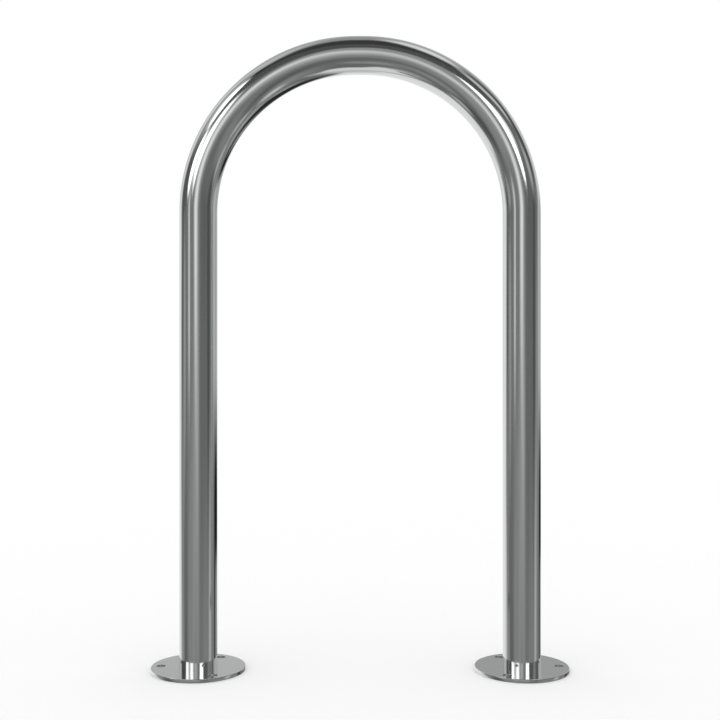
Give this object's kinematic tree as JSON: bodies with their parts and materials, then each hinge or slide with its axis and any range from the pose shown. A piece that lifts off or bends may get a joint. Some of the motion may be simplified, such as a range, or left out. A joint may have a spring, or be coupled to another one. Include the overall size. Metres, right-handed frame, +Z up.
{
  "type": "hoop bike rack",
  "caption": "Polished round steel tube bent into an upside-down U, each foot seated in and welded to a drilled round base flange that bolts down to paving.",
  "frame": {"origin": "on the ground, midway between the centres of the two feet", "axes": "+Z up, +X along the hoop's width to the right foot, +Y from the front of the hoop to its back"},
  "size_m": [0.5602, 0.126, 0.85],
  "materials": {
    "polished_steel": "polished",
    "weld_metal": "satin"
  },
  "bodies": {
    "root": {"hoop_tube": "polished_steel", "left_flange": "polished_steel", "left_weld": "weld_metal", "right_flange": "polished_steel", "right_weld": "weld_metal"}
  },
  "joints": []
}
